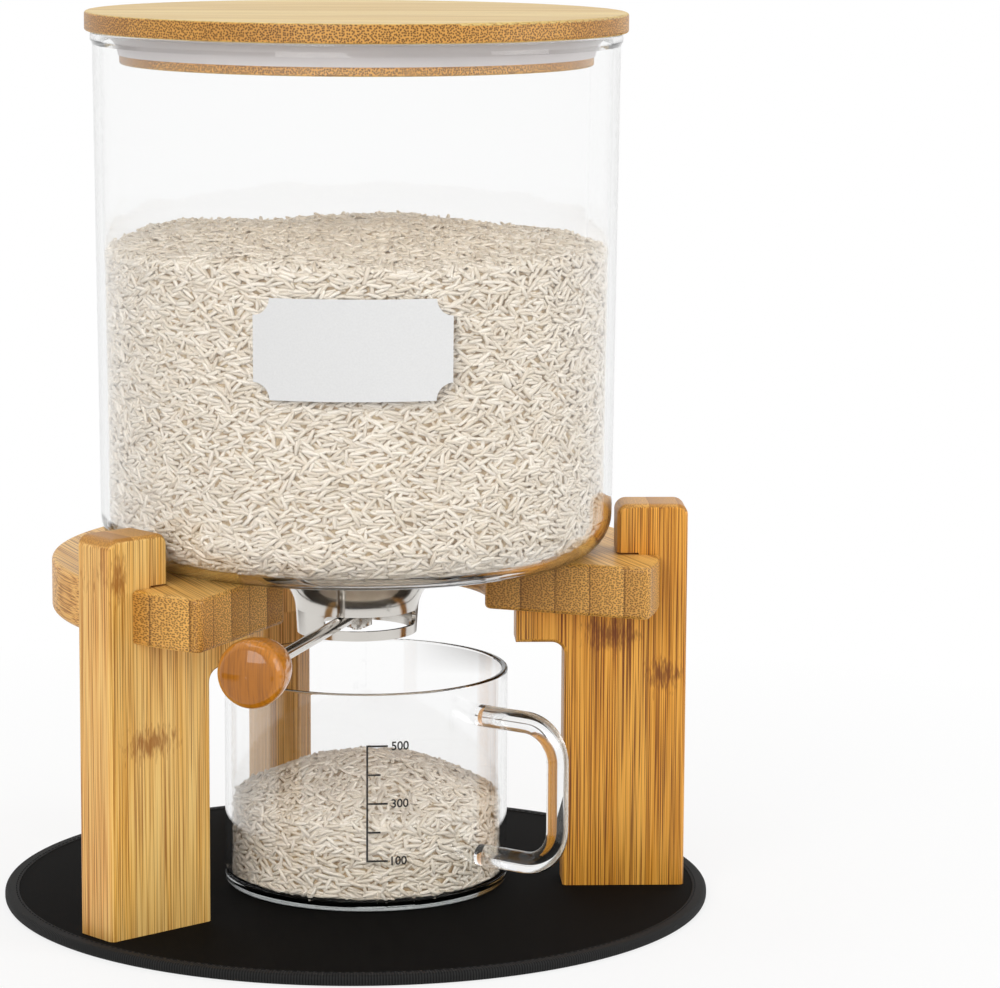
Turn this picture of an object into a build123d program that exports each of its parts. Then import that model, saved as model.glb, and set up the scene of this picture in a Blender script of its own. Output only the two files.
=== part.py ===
from build123d import *
import os
from math import asin, cos, degrees, radians, sin

# Countertop rice dispenser: a glass jar on a slotted bamboo stand, with a rotary gate outlet under it,
# a bamboo lid, a glass measuring cup and a round mat.
# Millimetres, +Z up, front at -Y. The origin is the centre of the mat's underside.

os.makedirs("parts", exist_ok=True)

# Mat
mat_margin = 9.5          # how far the mat reaches past the legs
mat_thickness = 4.0
binding_reach = 5.5       # how far the edge tape reaches in over the pad
binding_fold = 0.8        # tape above and below the pad's rim
binding_edge = 1.4        # tape outside the pad's rim
binding_round = 0.7

# Stand
leg_thickness = 20.0
leg_spread = 70.0         # degrees from the front to each front leg
leg_width = 48.5
stub_width = 28.0         # of a leg's upper end, outside the jar
arm_length = 19.2         # how far a leg's arm reaches in past the leg
arm_depth = 14.8
arm_fillet = 5.0
stub_rise = 20.2          # how far a leg stands above the ring
leg_top_round = 4.5
plank_edge_round = 2.0
ring_thickness = 20.5
ring_setback = 10.5       # from the legs' outer edges in to the ring's rim
ring_bore_clearance = 12.2  # between the bell's rim and the ring's bore
ring_edge_round = 1.8
ring_corner_round = 3.0
lap_depth = 9.0           # of the ring's slots, which take the legs
lap_clearance = 0.3
notch_headroom = 0.8      # free height over the ring inside a leg's notch
opening_half_angle = 47.6
opening_setback = 6.1     # the opening's two cuts meet this far behind the axis

# Jar
jar_height = 205.0
jar_foot_radius = 100.5
jar_draft = 2.0           # how much wider the rim is than the foot
jar_wall = 3.0
jar_floor = 3.2
jar_corner = 17.0
jar_bead = 0.8
jar_bead_height = 5.0
jar_rim_round = 0.7
jar_clearance = 1.8       # between the jar and the legs' stubs
hole_clearance = 1.0      # between the outlet tube and the hole in the jar's floor

# Label
label_width = 75.6
label_height = 38.0
label_notch = 6.5
label_paper = 0.3
label_glue = 0.05         # adhesive between the paper and the glass
label_lift = 73.6         # from the jar's underside up to the label's lower edge
label_azimuth = 248.4

# Lid
lid_overhang = 2.1        # past the jar's bead
lid_thickness = 7.5
lid_edge_round = 1.0
plug_clearance = 7.5      # between the plug and the glass at the rim
plug_thickness = 3.5
plug_edge_round = 0.8
seal_height = 9.0
seal_groove = 6.0         # how deep the seal sits in the plug's groove
seal_overhang = 0.5       # how far the seal's lower edge stands out past the plug
seal_lip = 1.2
seal_flare = 1.6          # how far the seal's side curves in
seal_clearance = 0.4      # between the seal's lip and the glass

# Outlet
tube_outer_radius = 21.5
tube_wall = 2.0
flange_width = 12.5       # outside the tube
flange_thickness = 2.2
flange_bevel = 1.4
flange_lead_in = 1.2
gasket_thickness = 1.5
gasket_margin = 0.5       # how far the outer gasket shows past the bell
nut_width = 5.0           # outside the tube
nut_thickness = 4.0
nut_notches = 6
nut_notch_width = 5.0
nut_notch_depth = 1.8
bell_drop = 31.8          # from the jar's underside to the bell's mouth
bell_gap = 15.2           # from the cup's rim up to the bell's mouth
bell_wall = 1.5
bell_taper = 1.0          # how much narrower the mouth is than the neck
bell_flare = 15.1         # how much wider the rim is than the neck
bell_neck_height = 15.2   # from the mouth up to the middle of the bend into the flare
bell_bend = 15.0
collar_width = 3.2        # from the tube to the outside of the bell's neck
collar_thickness = 3.0
slot_height = 5.7
slot_lift = 3.8           # from the bell's mouth to the slot
slot_start = 216.5
slot_end = 323.5

# Gate
gate_plate = 1.5
gate_gap = 0.2
gate_window_angle = 72.0
gate_windows = 2
gate_window_inner = 7.0
gate_window_margin = 1.5  # between a window and the tube's bore
seat_clearance = 0.6      # between the seat plate and the bell's wall
rotor_clearance = 2.8     # between the rotor and the bell's wall
hub_radius = 6.0
hub_height = 7.0
pin_radius = 2.0
pin_running = 0.05
pin_head_radius = 4.5
pin_head = 1.4
pin_tail = 1.0            # pin left below its clip
clip_radius = 4.2
clip_thickness = 0.7

# Lever, with lengths measured along the rod from the axis
lever_azimuth = 231.0
rod_radius = 2.5
rod_start = 3.2
rod_engagement = 14.0     # how far the rod goes into the knob
knob_gap = 3.0            # how far outside the jar's foot the knob starts
knob_length = 27.5
knob_radius = 13.0
knob_neck_radius = 8.5
knob_belly = 20.0         # from the knob's inner end to its widest ring
knob_face_radius = 10.0
knob_dome = 1.8           # bulge of the outer face
knob_edge_round = 3.0

# Cup
cup_radius = 56.4
cup_height = 87.0
cup_wall = 2.4
cup_floor = 3.2
cup_corner = 2.8
cup_inner_corner = 3.0
cup_rim_round = 0.9
cup_x = 5.1
cup_y = 2.8
handle_azimuth = 302.0
handle_rod_radius = 4.3
handle_reach = 36.5       # from the cup's wall to the middle of the handle's grip
handle_low = 18.0         # middle of the lower arm, over the mat
handle_drop = 13.0        # from the cup's rim down to the middle of the upper arm
handle_bend = 15.0

# Heights that follow from the sizes above: the stand is tall enough for the cup under the outlet.
mat_top = mat_thickness
cup_rim = mat_top + cup_height
bell_mouth = cup_rim + bell_gap
jar_bottom = bell_mouth + bell_drop
ring_top = jar_bottom
ring_bottom = ring_top - ring_thickness
arm_bottom = ring_bottom - arm_depth
notch_top = ring_top + notch_headroom
leg_top = ring_top + stub_rise
jar_floor_top = jar_bottom + jar_floor
jar_rim = jar_bottom + jar_height
bell_neck = bell_mouth + bell_neck_height
slot_middle = bell_mouth + slot_lift + slot_height / 2
bell_rim = jar_bottom - gasket_thickness
flange_bottom = jar_floor_top + gasket_thickness
seal_bottom = jar_rim - seal_height
front_azimuth = 270.0
leg_azimuths = {
    "left_leg": front_azimuth - leg_spread,
    "right_leg": front_azimuth + leg_spread,
    "back_leg": front_azimuth - 180.0,
}


def outward(azimuth):
    """Unit vector that points out from the axis along an azimuth in degrees."""
    return Vector(cos(radians(azimuth)), sin(radians(azimuth)), 0)


def upright_plane(azimuth, x=0.0, y=0.0):
    """Plane over the point (x, y): local x points out along the azimuth and local y points up."""
    return Plane(origin=(x, y, 0), x_dir=outward(azimuth), z_dir=outward(azimuth - 90))


def corner_at(sketch, x, y):
    """The corner of a sketch that lies at a local point."""
    return sketch.vertices().sort_by_distance((x, y, 0))[0]


def jar_radius_at(height):
    """Outer radius of the jar's tapered wall at a height."""
    return jar_foot_radius + jar_draft * (height - jar_bottom) / jar_height


def stays_sharp(point):
    """Whether a leg's edge at a local point stands on the mat or lines the notch for the ring."""
    on_base = point.Y < mat_top + lap_clearance
    beside_ring = ring_bottom - lap_clearance < point.Y < notch_top + lap_clearance
    return on_base or (beside_ring and point.X < lap_radius + lap_clearance)


def gate_outline(radius, bore_radius):
    """Round gate plate with its sector windows and its bore for the pivot pin."""
    half = gate_window_angle / 2
    with BuildSketch() as window:
        with BuildLine():
            outer = CenterArc((0, 0), gate_window_outer, -half, gate_window_angle)
            inner = CenterArc((0, 0), gate_window_inner, -half, gate_window_angle)
            Line(outer @ 0, inner @ 0)
            Line(outer @ 1, inner @ 1)
        make_face()
    with BuildSketch() as plate:
        Circle(radius)
        Circle(bore_radius, mode=Mode.SUBTRACT)
        with PolarLocations(0, gate_windows, start_angle=lever_azimuth + 180 / gate_windows):
            add(window.sketch, mode=Mode.SUBTRACT)
    return plate.sketch


# Radii that follow: the outlet goes round its tube, the stand round the jar, and the mat past the stand.
tube_bore = tube_outer_radius - tube_wall
hole_radius = tube_outer_radius + hole_clearance
flange_radius = tube_outer_radius + flange_width
nut_radius = tube_outer_radius + nut_width
bell_neck_radius = tube_outer_radius + collar_width
bell_mouth_radius = bell_neck_radius - bell_taper
bell_rim_radius = bell_neck_radius + bell_flare
rotor_radius = bell_neck_radius - bell_wall - rotor_clearance
gate_window_outer = tube_bore - gate_window_margin
jar_rim_radius = jar_foot_radius + jar_draft
stub_inner_radius = jar_radius_at(leg_top) + jar_clearance
leg_outer_radius = stub_inner_radius + stub_width
leg_inner_radius = leg_outer_radius - leg_width
arm_inner_radius = leg_inner_radius - arm_length
ring_outer_radius = leg_outer_radius - ring_setback
ring_inner_radius = bell_rim_radius + ring_bore_clearance
lap_radius = ring_outer_radius - lap_depth
mat_radius = leg_outer_radius + mat_margin
lid_radius = jar_rim_radius + jar_bead + lid_overhang
plug_radius = jar_rim_radius - jar_wall - plug_clearance
knob_start = jar_foot_radius + knob_gap

# Lever line: level, through the middle of the slot.
lever_direction = outward(lever_azimuth)
rod_plane = Plane(origin=(0, 0, slot_middle), x_dir=outward(lever_azimuth + 90), z_dir=lever_direction)
knob_plane = Plane(origin=(0, 0, slot_middle), x_dir=lever_direction, z_dir=outward(lever_azimuth - 90))

# Gate levels: the rotor clears the rod's upper side, and the seat and the tube stack on the rotor.
rotor_bottom = slot_middle + rod_radius + gate_gap
seat_bottom = rotor_bottom + gate_plate + gate_gap
tube_end = seat_bottom + gate_plate
collar_bottom = tube_end + gate_gap
hub_bottom = rotor_bottom - hub_height
clip_bottom = hub_bottom - gate_gap - clip_thickness

# Mat pad: full thickness in the middle, with a thin rim that the binding wraps.
with BuildPart() as mat_pad:
    with BuildSketch():
        Circle(mat_radius - binding_reach)
    extrude(amount=mat_thickness)
    with BuildSketch(Plane.XY.offset(binding_fold)):
        Circle(mat_radius - binding_edge)
    extrude(amount=mat_thickness - 2 * binding_fold)
mat_pad.part.label = "mat_pad"
export_step(mat_pad.part, "parts/mat_pad.step")

# Mat binding: folded tape round the pad's rim.
with BuildPart() as mat_binding:
    with BuildSketch():
        Circle(mat_radius)
        Circle(mat_radius - binding_reach, mode=Mode.SUBTRACT)
    extrude(amount=mat_thickness)
    fillet(mat_binding.edges().filter_by(GeomType.CIRCLE).sort_by(SortBy.RADIUS)[-2:], radius=binding_round)
    with BuildSketch(Plane.XY.offset(binding_fold)):
        Circle(mat_radius - binding_edge)
    extrude(amount=mat_thickness - 2 * binding_fold, mode=Mode.SUBTRACT)
mat_binding.part.label = "mat_binding"
export_step(mat_binding.part, "parts/mat_binding.step")

# Legs: upright planks set radially. A notch open to the middle takes the ring board, the arm under
# the notch carries it, and the stub above stands just outside the jar.
for leg_name, leg_azimuth in leg_azimuths.items():
    leg_plane = upright_plane(leg_azimuth)
    with BuildPart() as leg:
        with BuildSketch(leg_plane) as leg_profile:
            with BuildLine():
                Polyline(
                    (leg_inner_radius, mat_top),
                    (leg_outer_radius, mat_top),
                    (leg_outer_radius, leg_top),
                    (stub_inner_radius, leg_top),
                    (stub_inner_radius, notch_top),
                    (lap_radius, notch_top),
                    (lap_radius, ring_bottom),
                    (arm_inner_radius, ring_bottom),
                    (arm_inner_radius, arm_bottom),
                    (leg_inner_radius, arm_bottom),
                    close=True,
                )
            make_face()
            for top_radius in (leg_outer_radius, stub_inner_radius):
                fillet(corner_at(leg_profile, top_radius, leg_top), radius=leg_top_round)
            fillet(corner_at(leg_profile, leg_inner_radius, arm_bottom), radius=arm_fillet)
        extrude(amount=leg_thickness / 2, both=True)
        side_edges = leg.faces().filter_by(Axis((0, 0, 0), leg_plane.z_dir)).edges()
        rounded_edges = [
            edge for edge in side_edges
            if not stays_sharp(leg_plane.to_local_coords(edge.center(CenterOf.MASS)))
        ]
        fillet(rounded_edges, radius=plank_edge_round)
    leg.part.label = leg_name
    export_step(leg.part, f"parts/{leg_name}.step")

# Support ring: a C-shaped board that is open at the front, with slots for the legs in its outer edge.
with BuildPart() as support_ring:
    with BuildSketch(Plane.XY.offset(ring_bottom)) as ring_outline:
        Circle(ring_outer_radius)
        Circle(ring_inner_radius, mode=Mode.SUBTRACT)
        apex = Vector(0, opening_setback, 0)
        far = 2 * ring_outer_radius
        with BuildLine():
            Polyline(
                apex,
                apex + outward(front_azimuth - opening_half_angle) * far,
                apex + outward(front_azimuth + opening_half_angle) * far,
                close=True,
            )
        make_face(mode=Mode.SUBTRACT)
        fillet([v for v in ring_outline.vertices() if v.Y < -lap_clearance], radius=ring_corner_round)
    extrude(amount=ring_thickness)
    board_edges = support_ring.faces().filter_by(Axis.Z).edges()
    fillet(board_edges, radius=ring_edge_round)
    with BuildSketch(Plane.XY.offset(ring_bottom)):
        for leg_azimuth in leg_azimuths.values():
            slot_end_point = outward(leg_azimuth) * (lap_radius - lap_clearance)
            with Locations(Location(slot_end_point, (0, 0, leg_azimuth))):
                Rectangle(
                    ring_outer_radius,
                    leg_thickness + 2 * lap_clearance,
                    align=(Align.MIN, Align.CENTER),
                )
    extrude(amount=ring_thickness, mode=Mode.SUBTRACT)
support_ring.part.label = "support_ring"
export_step(support_ring.part, "parts/support_ring.step")

# Jar: tapered glass wall, rounded foot, beaded rim, and a hole in the floor for the outlet.
bead_bottom = jar_rim - jar_bead_height
with BuildPart() as glass_jar:
    with BuildSketch(Plane.XZ) as jar_profile:
        with BuildLine():
            Polyline(
                (hole_radius, jar_bottom),
                (jar_foot_radius, jar_bottom),
                (jar_radius_at(bead_bottom), bead_bottom),
                (jar_rim_radius + jar_bead, bead_bottom + 2 * jar_bead),
                (jar_rim_radius + jar_bead, jar_rim),
                (jar_rim_radius - jar_wall, jar_rim),
                (jar_foot_radius - jar_wall, jar_floor_top),
                (hole_radius, jar_floor_top),
                close=True,
            )
        make_face()
        fillet(corner_at(jar_profile, jar_foot_radius, jar_bottom), radius=jar_corner)
        inner_foot_radius = jar_foot_radius - jar_wall
        fillet(corner_at(jar_profile, inner_foot_radius, jar_floor_top), radius=jar_corner - jar_wall)
        for lip_side in (jar_rim_radius + jar_bead, jar_rim_radius - jar_wall):
            fillet(corner_at(jar_profile, lip_side, jar_rim), radius=jar_rim_round)
    revolve(axis=Axis.Z)
glass_jar.part.label = "glass_jar"
export_step(glass_jar.part, "parts/glass_jar.step")

# Label: paper on the jar's front, with scooped corners.
label_bottom = jar_bottom + label_lift
label_top = label_bottom + label_height
label_low_radius = jar_radius_at(label_bottom) + label_glue
label_high_radius = jar_radius_at(label_top) + label_glue
label_half_angle = degrees(label_width / 2 / jar_radius_at(label_bottom + label_height / 2))
with BuildPart() as jar_label:
    with BuildSketch(upright_plane(label_azimuth - label_half_angle)):
        with BuildLine():
            Polyline(
                (label_low_radius, label_bottom),
                (label_low_radius + label_paper, label_bottom),
                (label_high_radius + label_paper, label_top),
                (label_high_radius, label_top),
                close=True,
            )
        make_face()
    revolve(axis=Axis.Z, revolution_arc=2 * label_half_angle)
    for side in (-label_half_angle, label_half_angle):
        for height in (label_bottom, label_top):
            away = outward(label_azimuth + side)
            corner = away * jar_radius_at(height) + Vector(0, 0, height)
            with BuildSketch(Plane(origin=corner, z_dir=away)):
                Circle(label_notch)
            extrude(amount=label_notch, both=True, mode=Mode.SUBTRACT)
jar_label.part.label = "jar_label"
export_step(jar_label.part, "parts/jar_label.step")

# Lid top: bamboo disc that lies on the jar's rim.
with BuildPart() as lid_top:
    with BuildSketch(Plane.XY.offset(jar_rim)):
        Circle(lid_radius)
    extrude(amount=lid_thickness)
    fillet(lid_top.edges().filter_by(GeomType.CIRCLE), radius=lid_edge_round)
lid_top.part.label = "lid_top"
export_step(lid_top.part, "parts/lid_top.step")

# Lid plug: smaller disc under the lid, with a groove that holds the seal.
groove_radius = plug_radius - seal_groove
with BuildPart() as lid_plug:
    with BuildSketch(Plane.XY.offset(seal_bottom - plug_thickness)):
        Circle(plug_radius)
    extrude(amount=plug_thickness)
    fillet(lid_plug.edges().group_by(Axis.Z)[0], radius=plug_edge_round)
    with BuildSketch(Plane.XY.offset(seal_bottom)):
        Circle(groove_radius)
    extrude(amount=seal_height)
lid_plug.part.label = "lid_plug"
export_step(lid_plug.part, "parts/lid_plug.step")

# Lid seal: silicone ring in the plug's groove, flared towards the glass.
lip_radius = jar_radius_at(seal_bottom) - jar_wall - seal_clearance
with BuildPart() as lid_seal:
    with BuildSketch(Plane.XZ):
        with BuildLine():
            lower = (plug_radius + seal_overhang, seal_bottom)
            lip = (lip_radius, jar_rim - seal_lip)
            SagittaArc(lower, lip, seal_flare)
            Polyline(
                lip,
                (lip_radius, jar_rim),
                (groove_radius, jar_rim),
                (groove_radius, seal_bottom),
                lower,
            )
        make_face()
    revolve(axis=Axis.Z)
lid_seal.part.label = "lid_seal"
export_step(lid_seal.part, "parts/lid_seal.step")

# Inlet flange: steel rim inside the jar, with the tube that goes down through the floor.
with BuildPart() as inlet_flange:
    with BuildSketch(Plane.XY.offset(flange_bottom)):
        Circle(flange_radius)
    extrude(amount=flange_thickness)
    chamfer(inlet_flange.edges().group_by(Axis.Z)[-1], length=flange_bevel)
    with BuildSketch(Plane.XY.offset(tube_end)):
        Circle(tube_outer_radius)
    extrude(amount=flange_bottom - tube_end)
    with BuildSketch(Plane.XY.offset(tube_end)):
        Circle(tube_bore)
    extrude(amount=flange_bottom + flange_thickness - tube_end, mode=Mode.SUBTRACT)
    top_circles = inlet_flange.edges().filter_by(GeomType.CIRCLE).group_by(Axis.Z)[-1]
    chamfer(top_circles.sort_by(SortBy.RADIUS)[0], length=flange_lead_in)
inlet_flange.part.label = "inlet_flange"
export_step(inlet_flange.part, "parts/inlet_flange.step")

# Inner gasket: washer under the flange, with a sleeve that lines the hole in the glass.
with BuildPart() as inner_gasket:
    with BuildSketch(Plane.XY.offset(jar_floor_top)):
        Circle(flange_radius)
    extrude(amount=gasket_thickness)
    with BuildSketch(Plane.XY.offset(jar_bottom)):
        Circle(hole_radius)
    extrude(amount=jar_floor)
    with BuildSketch(Plane.XY.offset(jar_bottom)):
        Circle(tube_outer_radius)
    extrude(amount=jar_floor + gasket_thickness, mode=Mode.SUBTRACT)
inner_gasket.part.label = "inner_gasket"
export_step(inner_gasket.part, "parts/inner_gasket.step")

# Outer gasket: washer between the glass and the bell.
with BuildPart() as outer_gasket:
    with BuildSketch(Plane.XY.offset(bell_rim)):
        Circle(bell_rim_radius + gasket_margin)
        Circle(tube_outer_radius, mode=Mode.SUBTRACT)
    extrude(amount=gasket_thickness)
outer_gasket.part.label = "outer_gasket"
export_step(outer_gasket.part, "parts/outer_gasket.step")

# Clamp nut: notched ring nut on the tube, inside the bell.
with BuildPart() as clamp_nut:
    with BuildSketch(Plane.XY.offset(bell_rim - nut_thickness)):
        Circle(nut_radius)
        Circle(tube_outer_radius, mode=Mode.SUBTRACT)
        with PolarLocations(nut_radius, nut_notches):
            Rectangle(2 * nut_notch_depth, nut_notch_width, mode=Mode.SUBTRACT)
    extrude(amount=nut_thickness)
clamp_nut.part.label = "clamp_nut"
export_step(clamp_nut.part, "parts/clamp_nut.step")

# Outlet bell: spun steel shell that flares up to the jar, with a collar that fits the tube and a side
# slot for the lever.
with BuildPart() as outlet_body:
    with BuildSketch(Plane.XZ):
        with BuildLine():
            outside, inside = (
                FilletPolyline(
                    (bell_mouth_radius - inset, bell_mouth),
                    (bell_neck_radius - inset, bell_neck),
                    (bell_rim_radius - inset, bell_rim),
                    radius=bell_bend,
                )
                for inset in (0.0, bell_wall)
            )
            Line(outside @ 0, inside @ 0)
            Line(outside @ 1, inside @ 1)
        make_face()
    revolve(axis=Axis.Z)
    with BuildSketch(Plane.XY.offset(collar_bottom)):
        Circle(bell_neck_radius - bell_wall / 4)
        Circle(tube_outer_radius, mode=Mode.SUBTRACT)
    extrude(amount=collar_thickness)
    slot_end_angle = degrees(asin(slot_height / 2 / bell_mouth_radius))
    slot_arc_start = slot_start + slot_end_angle
    slot_arc = slot_end - slot_start - 2 * slot_end_angle
    with BuildSketch(upright_plane(slot_arc_start)):
        with Locations((bell_mouth_radius, slot_middle)):
            Rectangle(4 * bell_wall, slot_height)
    revolve(axis=Axis.Z, revolution_arc=slot_arc, mode=Mode.SUBTRACT)
    for slot_end_azimuth in (slot_arc_start, slot_arc_start + slot_arc):
        away = outward(slot_end_azimuth)
        with BuildSketch(Plane(origin=away * bell_mouth_radius + Vector(0, 0, slot_middle), z_dir=away)):
            Circle(slot_height / 2)
        extrude(amount=2 * bell_wall, both=True, mode=Mode.SUBTRACT)
outlet_body.part.label = "outlet_body"
export_step(outlet_body.part, "parts/outlet_body.step")

# Gate seat: fixed plate across the tube's lower end.
with BuildPart() as gate_seat:
    with BuildSketch(Plane.XY.offset(seat_bottom)):
        add(gate_outline(bell_neck_radius - bell_wall - seat_clearance, pin_radius))
    extrude(amount=gate_plate)
gate_seat.part.label = "gate_seat"
export_step(gate_seat.part, "parts/gate_seat.step")

# Pivot pin: headed pin through the seat, which the rotor turns on.
with BuildPart() as pivot_pin:
    with BuildSketch(Plane.XY.offset(clip_bottom - pin_tail)):
        Circle(pin_radius)
    extrude(amount=tube_end - clip_bottom + pin_tail)
    with BuildSketch(Plane.XY.offset(tube_end)):
        Circle(pin_head_radius)
    extrude(amount=pin_head)
    fillet(pivot_pin.edges().group_by(Axis.Z)[-1], radius=pin_head / 2)
pivot_pin.part.label = "pivot_pin"
export_step(pivot_pin.part, "parts/pivot_pin.step")

# Pivot clip: ring on the pin's lower end that carries the rotor.
with BuildPart() as pivot_clip:
    with BuildSketch(Plane.XY.offset(clip_bottom)):
        Circle(clip_radius)
        Circle(pin_radius, mode=Mode.SUBTRACT)
    extrude(amount=clip_thickness)
pivot_clip.part.label = "pivot_clip"
export_step(pivot_clip.part, "parts/pivot_clip.step")

# Gate rotor: windowed plate and the hub below it that holds the lever rod.
with BuildPart() as gate_rotor:
    with BuildSketch(Plane.XY.offset(rotor_bottom)):
        add(gate_outline(rotor_radius, pin_radius + pin_running))
    extrude(amount=gate_plate)
    with BuildSketch(Plane.XY.offset(hub_bottom)):
        Circle(hub_radius)
        Circle(pin_radius + pin_running, mode=Mode.SUBTRACT)
    extrude(amount=hub_height)
    with BuildSketch(rod_plane.offset(rod_start)):
        Circle(rod_radius)
    extrude(amount=hub_radius, mode=Mode.SUBTRACT)
gate_rotor.part.label = "gate_rotor"
export_step(gate_rotor.part, "parts/gate_rotor.step")

# Lever rod: from the hub, through the slot and into the knob.
with BuildPart() as lever_rod:
    with BuildSketch(rod_plane.offset(rod_start)):
        Circle(rod_radius)
    extrude(amount=knob_start + rod_engagement - rod_start)
lever_rod.part.label = "lever_rod"
export_step(lever_rod.part, "parts/lever_rod.step")

# Lever knob: turned wood, widest towards its domed outer face.
knob_end = knob_start + knob_length
knob_widest = knob_start + knob_belly
face_rim = (knob_end - knob_dome, knob_face_radius)
with BuildPart() as lever_knob:
    with BuildSketch(knob_plane) as knob_profile:
        with BuildLine():
            TangentArc((knob_widest, knob_radius), (knob_start, knob_neck_radius), tangent=(-1, 0))
            TangentArc((knob_widest, knob_radius), face_rim, tangent=(1, 0))
            TangentArc((knob_end, 0), face_rim, tangent=(0, 1))
            Polyline(
                (knob_end, 0),
                (knob_start + rod_engagement, 0),
                (knob_start + rod_engagement, rod_radius),
                (knob_start, rod_radius),
                (knob_start, knob_neck_radius),
            )
        make_face()
        for knob_edge in (face_rim, (knob_start, knob_neck_radius)):
            fillet(corner_at(knob_profile, *knob_edge), radius=knob_edge_round)
    revolve(axis=Axis(knob_plane.origin, lever_direction))
lever_knob.part.label = "lever_knob"
export_step(lever_knob.part, "parts/lever_knob.step")

# Measuring cup: straight glass wall with a thicker floor.
cup_floor_top = mat_top + cup_floor
cup_inner_radius = cup_radius - cup_wall
cup_axis = Axis((cup_x, cup_y, 0), (0, 0, 1))
with BuildPart() as cup_glass:
    with BuildSketch(upright_plane(0, cup_x, cup_y)) as cup_profile:
        with BuildLine():
            Polyline(
                (0, mat_top),
                (cup_radius, mat_top),
                (cup_radius, cup_rim),
                (cup_inner_radius, cup_rim),
                (cup_inner_radius, cup_floor_top),
                (0, cup_floor_top),
                close=True,
            )
        make_face()
        fillet(corner_at(cup_profile, cup_radius, mat_top), radius=cup_corner)
        fillet(corner_at(cup_profile, cup_inner_radius, cup_floor_top), radius=cup_inner_corner)
        for lip_side in (cup_radius, cup_inner_radius):
            fillet(corner_at(cup_profile, lip_side, cup_rim), radius=cup_rim_round)
    revolve(axis=cup_axis)
cup_glass.part.label = "cup_glass"
export_step(cup_glass.part, "parts/cup_glass.step")

# Cup handle: bent glass rod fused to the cup's wall.
handle_plane = upright_plane(handle_azimuth, cup_x, cup_y)
grip_radius = cup_radius + handle_reach
with BuildPart() as cup_handle:
    with BuildLine(handle_plane) as handle_path:
        FilletPolyline(
            (cup_inner_radius, mat_top + handle_low),
            (grip_radius, mat_top + handle_low),
            (grip_radius, cup_rim - handle_drop),
            (cup_inner_radius, cup_rim - handle_drop),
            radius=handle_bend,
        )
    with BuildSketch(Plane(origin=handle_path.line @ 0, z_dir=handle_path.line % 0)):
        Circle(handle_rod_radius)
    sweep()
    with BuildSketch(Plane(origin=(cup_x, cup_y, mat_top))):
        Circle(cup_radius)
    extrude(amount=cup_height, mode=Mode.SUBTRACT)
cup_handle.part.label = "cup_handle"
export_step(cup_handle.part, "parts/cup_handle.step")
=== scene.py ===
"""Looks of a countertop rice dispenser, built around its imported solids.

Sizes in the classes are millimetres. Meshes are written in metres, in the part's own frame: +Z up,
front at -Y, origin at the centre of the mat's underside.
"""

import logging
import math
from dataclasses import dataclass
from enum import Enum

import bpy
import numpy as np
from bpy.types import Material, Node, NodeSocket, NodeTree, Object
from mathutils import Matrix, Vector


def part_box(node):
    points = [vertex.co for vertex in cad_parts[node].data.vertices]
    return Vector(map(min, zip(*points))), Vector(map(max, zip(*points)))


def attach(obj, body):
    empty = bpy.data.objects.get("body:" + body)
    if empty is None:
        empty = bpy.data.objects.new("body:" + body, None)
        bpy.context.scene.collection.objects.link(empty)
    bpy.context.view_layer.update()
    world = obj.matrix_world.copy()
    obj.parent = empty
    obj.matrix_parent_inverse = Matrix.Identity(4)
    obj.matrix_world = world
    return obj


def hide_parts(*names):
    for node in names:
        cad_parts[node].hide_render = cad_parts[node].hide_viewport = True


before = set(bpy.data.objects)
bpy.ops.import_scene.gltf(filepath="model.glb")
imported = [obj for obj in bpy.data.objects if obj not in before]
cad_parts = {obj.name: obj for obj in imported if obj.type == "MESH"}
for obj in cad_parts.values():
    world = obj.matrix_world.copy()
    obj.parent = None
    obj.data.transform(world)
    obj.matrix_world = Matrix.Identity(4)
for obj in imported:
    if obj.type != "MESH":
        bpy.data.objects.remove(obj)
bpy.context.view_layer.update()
LOG = logging.getLogger("rice_dispenser")
MM = 0.001
FULL_TURN = 2 * math.pi

# Socket numbers of a Mix node, whose socket names repeat for each data type.
MIX_FACTOR, MIX_A, MIX_B, MIX_COLOUR = 0, 6, 7, 2
MIX_FIRST, MIX_SECOND, MIX_NUMBER = 2, 3, 0

# Steps that spread any count of points evenly over a square.
EVEN_STEPS = np.array([0.7548776662, 0.5698402910])

Range = tuple[float, float]
Mesh = tuple[np.ndarray, list[np.ndarray]]  # points in millimetres, and face arrays


def linear(hex_colour: str) -> tuple[float, float, float, float]:
    """Turns an sRGB hex colour into linear red, green, blue and a full alpha.

    Args:
        hex_colour: Six hex digits after a hash sign.

    Returns:
        The linear colour that a shader socket takes.
    """
    srgb = np.array([int(hex_colour[i : i + 2], 16) for i in (1, 3, 5)]) / 255.0
    light = np.where(srgb <= 0.04045, srgb / 12.92, ((srgb + 0.055) / 1.055) ** 2.4)
    return (*light.tolist(), 1.0)


def per(*sizes: float) -> tuple[float, ...]:
    """Pattern scales for sizes in millimetres: how many of each fit in a metre."""
    return tuple(1 / (size * MM) for size in sizes)


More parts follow.
